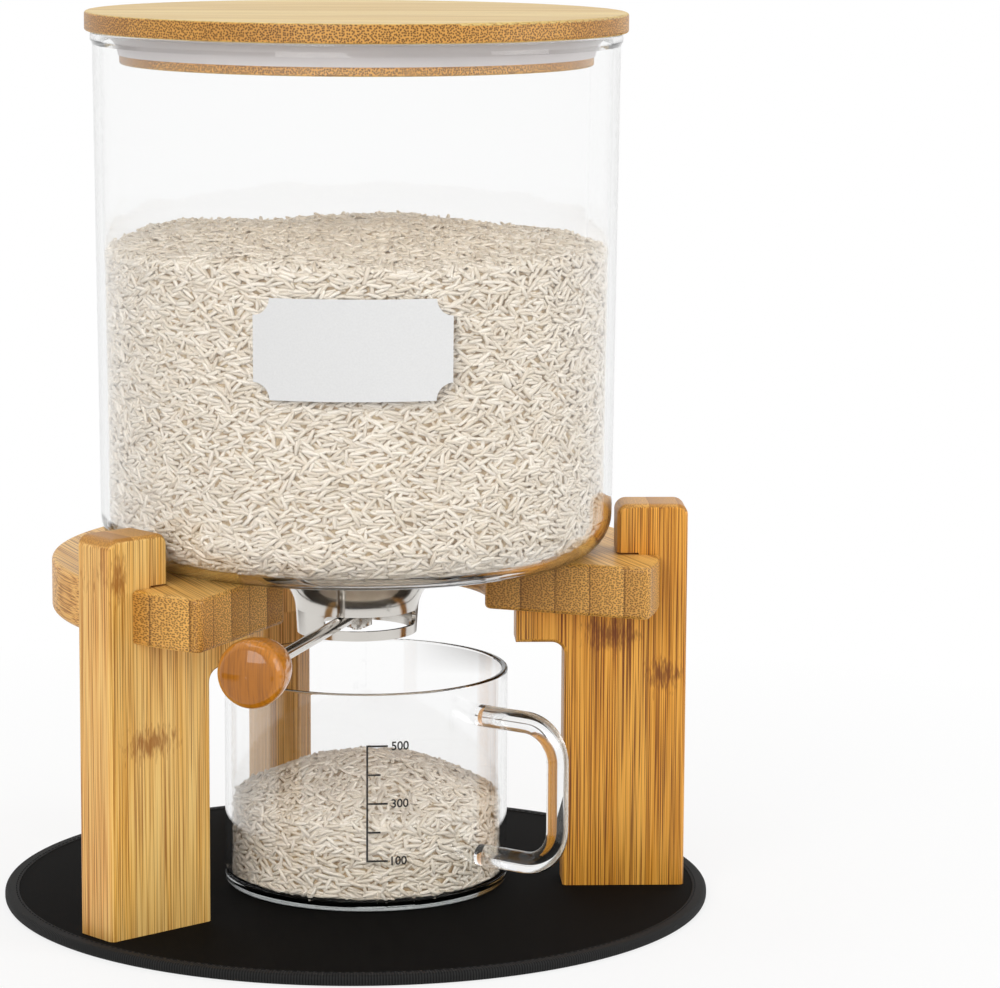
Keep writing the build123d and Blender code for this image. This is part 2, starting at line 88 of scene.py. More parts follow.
@dataclass
class Graph:
    """Node tree of a material or a world, with short calls for the nodes that its patterns are made of."""

    tree: NodeTree

    def add(self, kind: str, inputs: dict | None = None, **settings) -> Node:
        """Adds one node, with its settings and links.

        Args:
            kind: Type name of the node.
            inputs: Constants or other nodes' output sockets, by the input's name or number.
            settings: Properties of the node itself.

        Returns:
            The new node.
        """
        node = self.tree.nodes.new(kind)
        for name, value in settings.items():
            setattr(node, name, value)
        self.feed(node, inputs or {})
        return node

    def feed(self, node: Node, inputs: dict) -> None:
        """Sets a node's inputs to constants, or links other nodes' output sockets to them.

        Args:
            node: The node.
            inputs: Constants or sockets, by the input's name or number.
        """
        for name, value in inputs.items():
            if isinstance(value, NodeSocket):
                self.tree.links.new(value, node.inputs[name])
            else:
                node.inputs[name].default_value = value

    def place(self, kind: str = "Object") -> NodeSocket:
        """Object coordinates, or the surface's direction for "Normal"."""
        return self.add("ShaderNodeTexCoord").outputs[kind]

    def mapped(self, point: NodeSocket, **changes: tuple[float, ...]) -> NodeSocket:
        """Point after a Location, a Rotation and a Scale."""
        return self.add("ShaderNodeMapping", {"Vector": point, **changes}).outputs[0]

    def turned(self, degrees: float) -> list[NodeSocket]:
        """Object coordinates and surface direction, turned back about the upright axis."""
        spin = (0, 0, -math.radians(degrees))
        return [self.mapped(self.place(kind), Rotation=spin) for kind in ("Object", "Normal")]

    def split(self, point: NodeSocket) -> list[NodeSocket]:
        """The point's x, y and z."""
        return list(self.add("ShaderNodeSeparateXYZ", {0: point}).outputs)

    def joined(self, *parts: NodeSocket) -> NodeSocket:
        """Point of an x, a y and perhaps a z."""
        return self.add("ShaderNodeCombineXYZ", dict(enumerate(parts))).outputs[0]

    def length(self, point: NodeSocket) -> NodeSocket:
        """Distance of the point from the origin."""
        return self.add("ShaderNodeVectorMath", {0: point}, operation="LENGTH").outputs["Value"]

    def angle(self, point: NodeSocket) -> NodeSocket:
        """Angle of the point round the upright axis."""
        x, y, _ = self.split(point)
        return self.calc("ARCTAN2", y, x)

    def calc(self, operation: str, *values: NodeSocket | float, clamp: bool = False) -> NodeSocket:
        """Result of an operation on one to three numbers."""
        node = self.add("ShaderNodeMath", dict(enumerate(values)), operation=operation, use_clamp=clamp)
        return node.outputs[0]

    def ramp(
        self, value: NodeSocket, low: float = 0.0, high: float = 1.0, first: float = 0.0, last: float = 1.0
    ) -> NodeSocket:
        """Number that goes from first to last as the value goes from low to high, and stays there beyond."""
        names = ("Value", "From Min", "From Max", "To Min", "To Max")
        return self.add("ShaderNodeMapRange", dict(zip(names, (value, low, high, first, last)))).outputs[0]

    def noise(self, point: NodeSocket, *sizes: float, detail: float = 2.0) -> NodeSocket:
        """Noise with blobs of one size, or of three sizes along x, y and z."""
        scaled = self.mapped(point, Scale=per(*(sizes if len(sizes) == 3 else sizes * 3)))
        return self.add("ShaderNodeTexNoise", {"Vector": scaled, "Scale": 1.0, "Detail": detail}).outputs[0]

    def bump(self, height: NodeSocket, strength: float, rise: float) -> NodeSocket:
        """Surface direction over a relief that rises so many millimetres."""
        inputs = {"Height": height, "Strength": strength, "Distance": rise * MM}
        return self.add("ShaderNodeBump", inputs).outputs[0]

    def between(self, share: NodeSocket, first: NodeSocket | float, second: NodeSocket | float) -> NodeSocket:
        """Mixes two numbers by a share of the second."""
        inputs = {MIX_FACTOR: share, MIX_FIRST: first, MIX_SECOND: second}
        return self.add("ShaderNodeMix", inputs, data_type="FLOAT").outputs[MIX_NUMBER]

    def mixed(self, share: NodeSocket, first: NodeSocket | str, second: NodeSocket | str) -> NodeSocket:
        """Mixes two colours, each a socket or a hex colour, by a share of the second.

        Args:
            share: 0 for the first colour, 1 for the second.
            first: First colour.
            second: Second colour.

        Returns:
            The mixed colour.
        """
        pair = (linear(colour) if isinstance(colour, str) else colour for colour in (first, second))
        inputs = dict(zip((MIX_FACTOR, MIX_A, MIX_B), (share, *pair)))
        return self.add("ShaderNodeMix", inputs, data_type="RGBA").outputs[MIX_COLOUR]


def new_material(name: str, **sockets) -> tuple[Material, Graph, Node]:
    """Starts a material on one Principled shader.

    Args:
        name: What the surface really is.
        sockets: Constants for the shader, by socket name with underscores for spaces.

    Returns:
        The material, its graph and its shader.
    """
    material = bpy.data.materials.new(name)
    material.use_nodes = True
    graph = Graph(material.node_tree)
    shader = material.node_tree.nodes["Principled BSDF"]
    graph.feed(shader, {socket.replace("_", " "): value for socket, value in sockets.items()})
    return material, graph, shader


def unit(rows: np.ndarray) -> np.ndarray:
    """Vectors of length 1 in the same directions."""
    return rows / np.linalg.norm(rows, axis=-1, keepdims=True)


def polar(radius: np.ndarray | float, turn: np.ndarray, height: np.ndarray | float) -> np.ndarray:
    """Points at a radius and an angle round the upright axis, at a height."""
    return np.stack(np.broadcast_arrays(radius * np.cos(turn), radius * np.sin(turn), height), axis=-1)


def round_turn(steps: int) -> np.ndarray:
    """Evenly spaced angles once round, without the last, which is the first again."""
    return np.linspace(0, FULL_TURN, steps, endpoint=False)


def grid_faces(rows: int, columns: int, close_rows: bool, close_columns: bool) -> np.ndarray:
    """Quads of a grid of points that are numbered row after row.

    Args:
        rows: Number of rows.
        columns: Points in a row.
        close_rows: Whether the last row joins the first.
        close_columns: Whether a row's last point joins its first.

    Returns:
        Point numbers of the quads, four in a row.
    """
    i, j = np.indices((rows - (not close_rows), columns - (not close_columns)))
    below, beside = (i + 1) % rows, (j + 1) % columns
    corners = [i * columns + j, i * columns + beside, below * columns + beside, below * columns + j]
    return np.stack([c.ravel() for c in corners], axis=1)


def make_piece(name: str, points: np.ndarray, faces: list[np.ndarray], body: str) -> Object:
    """Makes a smooth mesh object at the origin that rides on a body.

    Args:
        name: The piece's name.
        points: Points in millimetres, three numbers in a row.
        faces: Arrays of point numbers, one array for each number of corners.
        body: Body that carries the piece.

    Returns:
        The new object.
    """
    mesh = bpy.data.meshes.new(name)
    sizes = np.concatenate([np.full(len(part), part.shape[1]) for part in faces])
    corners = np.concatenate([part.ravel() for part in faces])
    mesh.vertices.add(len(points))
    mesh.vertices.foreach_set("co", (points * MM).astype(np.float32).ravel())
    mesh.loops.add(len(corners))
    mesh.loops.foreach_set("vertex_index", corners.astype(np.int32))
    mesh.polygons.add(len(sizes))
    mesh.polygons.foreach_set("loop_start", np.concatenate([[0], np.cumsum(sizes)[:-1]]).astype(np.int32))
    mesh.polygons.foreach_set("use_smooth", np.ones(len(sizes), bool))
    mesh.update(calc_edges=True)
    mesh.validate()
    piece = bpy.data.objects.new(name, mesh)
    bpy.context.scene.collection.objects.link(piece)
    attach(piece, body)
    LOG.info("%s: %d points, %d faces, on %s", name, len(points), len(sizes), body)
    return piece


def dress(piece: Object, material: Material) -> None:
    """Gives a new piece its material."""
    piece.data.materials.append(material)


def repaint(material: Material, *nodes: str) -> None:
    """Puts a material on CAD nodes in place of the plain one that they came with.

    Args:
        material: The new material.
        nodes: Names of the CAD nodes.
    """
    for node in nodes:
        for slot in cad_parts[node].material_slots:
            slot.material = material
        LOG.info("%s: %s", node, material.name)


def span(node: str) -> tuple[np.ndarray, np.ndarray]:
    """Lowest and highest corner of a CAD node, in millimetres."""
    low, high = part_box(node)
    return np.array(low) / MM, np.array(high) / MM


def rounded(corners: list[tuple[float, float]], radii: list[float], steps: int = 9) -> np.ndarray:
    """Outline through corner points, with an arc of a given radius in place of each corner.

    An arc starts and ends where it touches its two sides, at radius / tan(half the corner's angle)
    from the corner, and its centre is on the line that halves the angle.

    Args:
        corners: Corner points in order. The first and last stay as they are.
        radii: Radius at each corner, 0 for a sharp one.
        steps: Points on each arc.

    Returns:
        Points of the outline, two numbers in a row.
    """
    points = np.array(corners, float)
    parts = [points[:1]]
    for before, corner, after, radius in zip(points, points[1:], points[2:], radii[1:]):
        if radius == 0:
            parts.append(corner[None])
            continue
        to_before, to_after = unit(before - corner), unit(after - corner)
        half = math.acos(np.clip(to_before @ to_after, -1, 1)) / 2
        centre = corner + unit(to_before + to_after) * radius / math.sin(half)
        first, last = (corner + side * radius / math.tan(half) - centre for side in (to_before, to_after))
        start = math.atan2(first[1], first[0])
        turn = (math.atan2(last[1], last[0]) - start + math.pi) % FULL_TURN - math.pi
        parts.append(centre + polar(radius, start + turn * np.linspace(0, 1, steps), 0)[:, :2])
    parts.append(points[-1:])
    return np.concatenate(parts)


def lathe(profile: np.ndarray, segments: int, closed: bool) -> Mesh:
    """Surface of revolution: a profile point (r, z) goes to (r cos t, r sin t, z) for t round the axis.

    Args:
        profile: Points of radius and height. An open profile starts and ends on the axis, top first.
        segments: Number of steps round the axis.
        closed: Whether the profile is a loop off the axis, clockwise with the axis on its left.

    Returns:
        Points in millimetres and the face arrays.
    """
    rings = profile if closed else profile[1:-1]
    points = polar(rings[:, :1], round_turn(segments), rings[:, 1:]).reshape(-1, 3)
    quads = grid_faces(len(rings), segments, closed, True)[:, ::-1]
    if closed:
        return points, [quads]
    around = np.arange(segments)
    beside = (around + 1) % segments
    top, last_ring = len(points), len(points) - segments
    top_fan = np.stack([np.full(segments, top), around, beside], axis=1)
    low_fan = np.stack([np.full(segments, top + 1), last_ring + beside, last_ring + around], axis=1)
    poles = np.array([[0, 0, profile[0, 1]], [0, 0, profile[-1, 1]]])
    return np.concatenate([points, poles]), [quads, np.concatenate([top_fan, low_fan])]


@dataclass(frozen=True)
class Finish:
    """What a surface is made of and how it was worked. A subclass says what its shader is fed with."""

    name: str

    def look(self, graph: Graph) -> dict:
        """Constants and sockets for the shader, by the input's name."""
        raise NotImplementedError

    def material(self) -> Material:
        """Builds the finish on one Principled shader.

        Returns:
            The new material.
        """
        material, graph, shader = new_material(self.name)
        graph.feed(shader, self.look(graph))
        return material


class Fibres(Enum):
    """Axis of the piece's frame that its fibres run along, after those across and through the strips."""

    ALONG_X = (1, 2, 0)
    ALONG_Y = (0, 2, 1)
    ALONG_Z = (0, 1, 2)


@dataclass
class Grain:
    """Sockets that a bamboo's patterns share."""

    point: NodeSocket  # across the strips, through them and along the fibres
    ends: NodeSocket  # place on a surface that cuts the fibres
    within: NodeSocket  # 0 to 1 across each strip
    tone: NodeSocket  # random for each strip
    narrow: NodeSocket  # 1 where the surface faces across the strips
    facing: NodeSocket  # 1 where the surface faces along the fibres


@dataclass(frozen=True)
class Bamboo(Finish):
    """Strip-laminated bamboo, planed and lacquered.

    It gives the eye straight strips that differ in tone, dark and pale fibre lines along them, a ragged
    knuckle mark here and there, and close vessel dots where the fibres end. A range says where something
    starts to show and where it shows in full.
    """

    pale: str = "#FFCD76"
    honey: str = "#E2A53F"
    brown: str = "#98590C"
    narrow: str = "#EAAC62"  # of the planks' narrow faces
    cut_pale: str = "#F8BE64"
    cut_end: str = "#B67A28"
    vessel: str = "#4C2503"
    fibres: Fibres = Fibres.ALONG_Z
    turn: float = 0.0  # degrees from +X to the direction across the strips
    shift: float = 0.0  # millimetres along the fibres, so that no two pieces look the same
    strip: float = 9.5
    tones: Range = (0.4, 1.05)  # of a strip's tone and the clouds in it
    strip_share: float = 0.5  # of the strip in that tone
    cloud: float = 5.0
    cloud_length: float = 80.0
    fibre: float = 0.42
    fibre_length: float = 70.0
    relief: Range = (0.25, 0.15)  # of the fibres: strength, and height in millimetres
    lines: float = 0.8  # how strongly the dark lines show
    line_range: Range = (0.49, 0.63)
    gleam: float = 0.8  # how strongly the pale lines show
    gleam_range: Range = (0.48, 0.36)
    narrow_share: float = 0.7
    narrow_range: Range = (0.6, 0.9)  # how far a surface faces across the strips
    end_range: Range = (0.28, 0.45)  # how far a surface faces along the fibres
    seams: float = 0.4  # how strongly the joints between strips show
    side_seam: float = 0.05  # as a share of a strip
    end_seam: float = 0.07
    vessel_pitch: float = 0.72
    dots: float = 0.85  # how strongly the vessel dots show
    dot_range: Range = (0.1, 0.55)
    dot_scatter: float = 0.85
    end_tone: Range = (0.2, 0.6)  # of a strip's end: least, and what its own tone adds
    lean: float = 0.35  # how far a strip's end darkens towards one side
    rim_radius: float = 0.0  # of a disc with a cross-laid core, whose whole rim shows fibre ends
    # Knuckle marks: middle across and along, then half the width and half the height.
    knuckles: tuple[tuple[float, float, float, float], ...] = ()
    knuckle_range: Range = (-0.3, -1.0)
    knuckle_dark: float = 0.8
    rag: tuple[float, float, float] = (1.0, 1.0, 5.0)  # sizes of the noise at their edges
    torn: float = -2.4  # how deep the noise eats into them

    def grain(self, graph: Graph) -> Grain:
        """Turns Object coordinates into a place among the strips.

        Args:
            graph: Graph of the material.

        Returns:
            The sockets that the patterns read.
        """
        place, direction = graph.turned(self.turn)
        axes, normal = graph.split(place), graph.split(direction)
        across, through, fibre = (axes[axis] for axis in self.fibres.value)
        point = graph.joined(across, through, graph.calc("ADD", fibre, self.shift * MM))
        sideways, _, toward = (graph.calc("ABSOLUTE", normal[axis]) for axis in self.fibres.value)
        ends = point
        if self.rim_radius:
            round_rim = graph.calc("MULTIPLY", graph.angle(place), self.rim_radius * MM)
            ends = graph.joined(round_rim, through)
            toward = graph.calc("SUBTRACT", 1.0, graph.calc("ABSOLUTE", normal[2]))
            across = graph.between(toward, across, round_rim)
        strips = graph.calc("MULTIPLY_ADD", across, per(self.strip)[0], self.shift)
        number, within = (graph.calc(part, strips) for part in ("FLOOR", "FRACT"))
        chance = graph.add("ShaderNodeTexWhiteNoise", {"W": number}, noise_dimensions="1D").outputs["Value"]
        narrow, facing = graph.ramp(sideways, *self.narrow_range), graph.ramp(toward, *self.end_range)
        return Grain(point, ends, within, chance, narrow, facing)

    def side(self, graph: Graph, grain: Grain, streak: NodeSocket) -> NodeSocket:
        """Colour along the fibres: toned strips with dark and pale lines, and a dark seam between strips.

        Args:
            graph: Graph of the material.
            grain: Sockets of the place among the strips.
            streak: Noise drawn out along the fibres.

        Returns:
            The colour.
        """
        cloud = graph.noise(grain.point, self.cloud, self.cloud, self.cloud_length)
        tone = graph.ramp(graph.calc("MULTIPLY_ADD", grain.tone, self.strip_share, cloud), *self.tones)
        colour = graph.mixed(tone, self.honey, self.pale)
        for share, over in (
            (graph.calc("MULTIPLY", grain.narrow, self.narrow_share), self.narrow),
            (graph.ramp(streak, *self.gleam_range, last=self.gleam), self.pale),
            (graph.ramp(streak, *self.line_range, last=self.lines), self.brown),
            (graph.ramp(grain.within, 0.0, self.side_seam, self.seams, 0.0), self.brown),
        ):
            colour = graph.mixed(share, colour, over)
        return colour

    def marked(self, graph: Graph, grain: Grain, plain: NodeSocket) -> NodeSocket:
        """Lays the knuckle marks over a colour: each is an ellipse whose dark a torn noise eats into.

        Args:
            graph: Graph of the material.
            grain: Sockets of the place among the strips.
            plain: Colour without the marks.

        Returns:
            The colour with them.
        """
        rag = graph.noise(grain.point, *self.rag)
        colour = plain
        for across, along, half_width, half_height in self.knuckles:
            near = graph.mapped(
                grain.point,
                Location=(-across / half_width, 0, -(along + self.shift) / half_height),
                Scale=(per(half_width)[0], 0, per(half_height)[0]),
            )
            eaten = graph.calc("MULTIPLY_ADD", rag, self.torn, graph.length(near))
            share = graph.ramp(eaten, *self.knuckle_range, last=self.knuckle_dark)
            colour = graph.mixed(share, colour, self.brown)
        return colour

    def end(self, graph: Graph, grain: Grain) -> NodeSocket:
        """Colour across the fibres: each strip darkens towards one side, under close vessel dots.

        Args:
            graph: Graph of the material.
            grain: Sockets of the place among the strips.

        Returns:
            The colour.
        """
        dotted = graph.mapped(grain.ends, Scale=per(*(self.vessel_pitch,) * 3))
        inputs = {"Vector": dotted, "Scale": 1.0, "Randomness": self.dot_scatter}
        cells = graph.add("ShaderNodeTexVoronoi", inputs, voronoi_dimensions="2D").outputs["Distance"]
        least, own = self.end_tone
        leaning = graph.calc("MULTIPLY_ADD", grain.within, self.lean, least - self.lean / 2)
        shade = graph.calc("MULTIPLY_ADD", grain.tone, own, leaning, clamp=True)
        colour = graph.mixed(shade, self.cut_end, self.cut_pale)
        for share in (
            graph.ramp(cells, *self.dot_range, self.dots, 0.0),
            graph.ramp(grain.within, 0.0, self.end_seam, self.seams, 0.0),
        ):
            colour = graph.mixed(share, colour, self.vessel)
        return colour

    def look(self, graph: Graph) -> dict:
        """Sides and ends of the strips under a thin lacquer, with the fibre lines in slight relief.

        Args:
            graph: Graph of the material.

        Returns:
            Inputs of the shader.
        """
        grain = self.grain(graph)
        streak = graph.noise(grain.point, self.fibre, self.fibre, self.fibre_length)
        side = self.marked(graph, grain, self.side(graph, grain, streak))
        colour = graph.mixed(grain.facing, side, self.end(graph, grain))
        lacquer = {"Roughness": 0.45, "Specular IOR Level": 0.35, "Coat Weight": 0.12, "Coat Roughness": 0.15}
        return {"Base Color": colour, "Normal": graph.bump(streak, *self.relief), **lacquer}


@dataclass(frozen=True)
class LacqueredBeech(Finish):
    """Beech, turned and lacquered to a gloss: warm tan sides, a browner end and sharp highlights."""

    name: str = "lacquered_beech"
    side: str = "#CF8118"
    end: str = "#B06A0C"
    dark: str = "#5C2F03"
    turn: float = 231.0  # degrees from +X to the rod that carries the knob
    end_range: Range = (0.55, 0.85)  # how far a surface faces along the rod
    line: float = 0.7
    line_length: float = 40.0
    line_range: Range = (0.45, 0.7)
    lines: float = 0.4  # how strongly they show

    def look(self, graph: Graph) -> dict:
        """Faint lines that stand upright across the knob's end.

        Args:
            graph: Graph of the material.

        Returns:
            Inputs of the shader.
        """
        place, direction = graph.turned(self.turn)
        lines = graph.noise(place, 4 * self.line, self.line, self.line_length, detail=3.0)
        wood = graph.mixed(graph.ramp(graph.split(direction)[0], *self.end_range), self.side, self.end)
        colour = graph.mixed(graph.ramp(lines, *self.line_range, last=self.lines), wood, self.dark)
        lacquer = {"Roughness": 0.4, "Specular IOR Level": 0.2, "Coat Weight": 0.75, "Coat Roughness": 0.03}
        return {"Base Color": colour, **lacquer}


@dataclass(frozen=True)
class BorosilicateGlass:
    """Borosilicate glass, blown and fire polished: clear, and grey only where the eye looks along a wall."""

    clear: str = "#F4F6F5"  # of the lamplight that comes through
    smoke: str = "#C6CAC9"
    smoke_density: float = 14.0  # absorption per metre, enough to draw the walls' edges
    ior: float = 1.47

    def material(self) -> Material:
        """Builds the finish, which lets lamplight through to what stands behind the glass.

        Returns:
            The new material.
        """
        white = linear("#FFFFFF")
        material, graph, shader = new_material(
            "borosilicate_glass", Base_Color=white, Roughness=0.0, IOR=self.ior, Transmission_Weight=1.0
        )
        shadow = graph.add("ShaderNodeLightPath").outputs["Is Shadow Ray"]
        clear = graph.add("ShaderNodeBsdfTransparent", {"Color": linear(self.clear)})
        lit = graph.add("ShaderNodeMixShader", {0: shadow, 1: shader.outputs[0], 2: clear.outputs[0]})
        haze = {"Color": linear(self.smoke), "Density": self.smoke_density}
        smoke = graph.add("ShaderNodeVolumeAbsorption", haze)
        output = graph.tree.nodes["Material Output"]
        graph.feed(output, {"Surface": lit.outputs[0], "Volume": smoke.outputs[0]})
        return material


@dataclass(frozen=True)
class PolishedSteel(Finish):
    """Stainless steel, spun and polished: clear bands of light and dark, with faint rings from spinning."""

    name: str = "polished_stainless_steel"
    colour: str = "#D2CEC8"
    ring: float = 0.5
    ring_length: float = 40.0
    shine: Range = (0.08, 0.22)  # least and most roughness

    def look(self, graph: Graph) -> dict:
        """Rings at a fixed pitch up the part, in the shine only.

        Args:
            graph: Graph of the material.

        Returns:
            Inputs of the shader.
        """
        rings = graph.noise(graph.place(), self.ring_length, self.ring_length, self.ring)
        shine = graph.ramp(rings, 0.0, 1.0, *self.shine)
        return {"Base Color": linear(self.colour), "Metallic": 1.0, "Roughness": shine}


@dataclass(frozen=True)
class MilkySilicone(Finish):
    """Silicone rubber, moulded: milky grey, a little see-through, with a soft shine."""

    name: str = "milky_silicone"
    colour: str = "#DDD6D6"
    mottle: float = 6.0
    shine: Range = (0.3, 0.5)
    ior: float = 1.41

    def look(self, graph: Graph) -> dict:
        """A slight mottle in the shine.

        Args:
            graph: Graph of the material.

        Returns:
            Inputs of the shader.
        """
        shine = graph.ramp(graph.noise(graph.place(), self.mottle), 0.0, 1.0, *self.shine)
        milky = {"IOR": self.ior, "Transmission Weight": 0.15}
        return {"Base Color": linear(self.colour), "Roughness": shine, **milky}


@dataclass(frozen=True)
class LabelPaper(Finish):
    """Coated paper, matt: even pale grey with the faintest fibre."""

    name: str = "coated_paper"
    light: str = "#E9E9E9"
    dark: str = "#DCDCDC"
    fibre: float = 0.7

    def look(self, graph: Graph) -> dict:
        """A fine fibre noise."""
        fibre = graph.noise(graph.place(), self.fibre, detail=4.0)
        return {"Base Color": graph.mixed(fibre, self.light, self.dark), "Roughness": 0.75}


@dataclass(frozen=True)
class BlackCloth(Finish):
    """Polyester cloth on a rubber pad, plain woven: near black, with a fine weave that catches the light."""

    name: str = "woven_polyester"
    dark: str = "#060504"
    light: str = "#12110F"
    thread: float = 0.9  # coarser than the real thread, so that it shows in the render
    fleck: float = 2.5
    relief: Range = (0.35, 0.12)

    def look(self, graph: Graph) -> dict:
        """Two sets of threads crossed at a right angle, flecked.

        Args:
            graph: Graph of the material.

        Returns:
            Inputs of the shader.
        """
        place = graph.place()
        # A wave repeats every 2 pi / 20 texture units, which turns the thread spacing into its scale.
        waves = {"Vector": place, "Scale": math.pi / (10 * self.thread * MM), "Distortion": 0.4}
        threads = (graph.add("ShaderNodeTexWave", waves, bands_direction=axis).outputs[1] for axis in "XY")
        weave = graph.calc("MULTIPLY", *threads)
        share = graph.calc("MULTIPLY", weave, graph.noise(place, self.fleck, detail=4.0))
        colour, relief = graph.mixed(share, self.dark, self.light), graph.bump(weave, *self.relief)
        return {"Base Color": colour, "Normal": relief, "Roughness": 0.9, "Specular IOR Level": 0.08}


@dataclass(frozen=True)
class RibbedTape(Finish):
    """Polyester binding tape, woven with cross ribs: near black, with short ribs round the mat's edge."""

    name: str = "ribbed_tape"
    dark: str = "#0E0E0E"
    light: str = "#2A2A2A"
    rib: float = 1.1
    radius: float = 140.0
    relief: Range = (0.5, 0.2)

    def look(self, graph: Graph) -> dict:
        """Ribs by a sine of the angle round the mat.

        Args:
            graph: Graph of the material.

        Returns:
            Inputs of the shader.
        """
        ribs_round = float(round(FULL_TURN * self.radius / self.rib))
        wave = graph.calc("SINE", graph.calc("MULTIPLY", graph.angle(graph.place()), ribs_round))
        height = graph.ramp(wave, -1.0)
        colour, relief = graph.mixed(height, self.dark, self.light), graph.bump(height, *self.relief)
        return {"Base Color": colour, "Normal": relief, "Roughness": 0.75, "Specular IOR Level": 0.15}


@dataclass(frozen=True)
class PolishedRice(Finish):
    """Polished rice: cream grains that differ a little in tone, each with a soft waxy shine."""

    name: str = "polished_rice"
    light: str = "#EEE4D7"
    dark: str = "#D6C7B3"
    chalk: float = 1.4
    chalky: float = 0.4  # what the cloud adds to the grain's tone

    def look(self, graph: Graph) -> dict:
        """A tone for each grain, and a chalky cloud within it.

        Args:
            graph: Graph of the material.

        Returns:
            Inputs of the shader.
        """
        tone = graph.add("ShaderNodeAttribute", attribute_name="tone").outputs["Fac"]
        share = graph.calc("MULTIPLY_ADD", graph.noise(graph.place(), self.chalk), self.chalky, tone)
        return {"Base Color": graph.mixed(share, self.dark, self.light), "Roughness": 0.42}


@dataclass(frozen=True)
class ShadedRice(Finish):
    """Rice below the first layers of grains, in a brown darker than the grains: painted shade for the gaps
    between them.
    """

    name: str = "shaded_rice"
    light: str = "#CDB999"
    dark: str = "#94795A"
    grain: float = 2.4

    def look(self, graph: Graph) -> dict:
        """Blurred cells of a grain's size.

        Args:
            graph: Graph of the material.

        Returns:
            Inputs of the shader.
        """
        inputs = {"Vector": graph.place(), "Scale": per(self.grain)[0]}
        cells = graph.add("ShaderNodeTexVoronoi", inputs).outputs["Distance"]
        return {"Base Color": graph.mixed(cells, self.light, self.dark), "Roughness": 0.8}


@dataclass(frozen=True)
class FiredInk(Finish):
    """Ceramic ink, screen printed and fired on glass: dense black-brown with slightly uneven cover."""

    name: str = "fired_ink"
    dark: str = "#191614"
    light: str = "#3A342F"
    speck: float = 0.5
    thin_range: Range = (0.5, 0.9)

    def look(self, graph: Graph) -> dict:
        """Specks where the cover is thin."""
        cover = graph.ramp(graph.noise(graph.place(), self.speck), *self.thin_range)
        return {"Base Color": graph.mixed(cover, self.dark, self.light), "Roughness": 0.5}


@dataclass
class Bead:
    """Small blunt spindle, such as a grain or a stitch, laid many times over as one mesh."""

    sides: int = 5
    stations: tuple[float, ...] = (1.0, 0.8, 0.0, -0.8, -1.0)

    def mesh(self) -> Mesh:
        """Spindle of half length 1 along x, turned on the lathe: the radius at x is the root of 1 - x**4.

        Returns:
            Its points and face arrays.
        """
        x = np.array(self.stations)
        points, faces = lathe(np.stack([np.sqrt(1 - x**4), x], axis=1), self.sides, False)
        return points[:, [2, 0, 1]], faces

    def lay(self, places: np.ndarray, frames: np.ndarray, sizes: np.ndarray) -> Mesh:
        """Copies the spindle to many places at once.

        A point p of the spindle goes to place + (p times the half sizes) turned into the frame.

        Args:
            places: Middle of each copy, in millimetres.
            frames: Three unit vectors for each copy: along it, across it and through it.
            sizes: Half length, half width and half depth of each copy.

        Returns:
            Points in millimetres and the face arrays.
        """
        base, faces = self.mesh()
        points = places[:, None] + np.einsum("npk,nkc->npc", base[None] * sizes[:, None], frames)
        start = (np.arange(len(places)) * len(base))[:, None, None]
        return points.reshape(-1, 3), [(part[None] + start).reshape(-1, part.shape[1]) for part in faces]


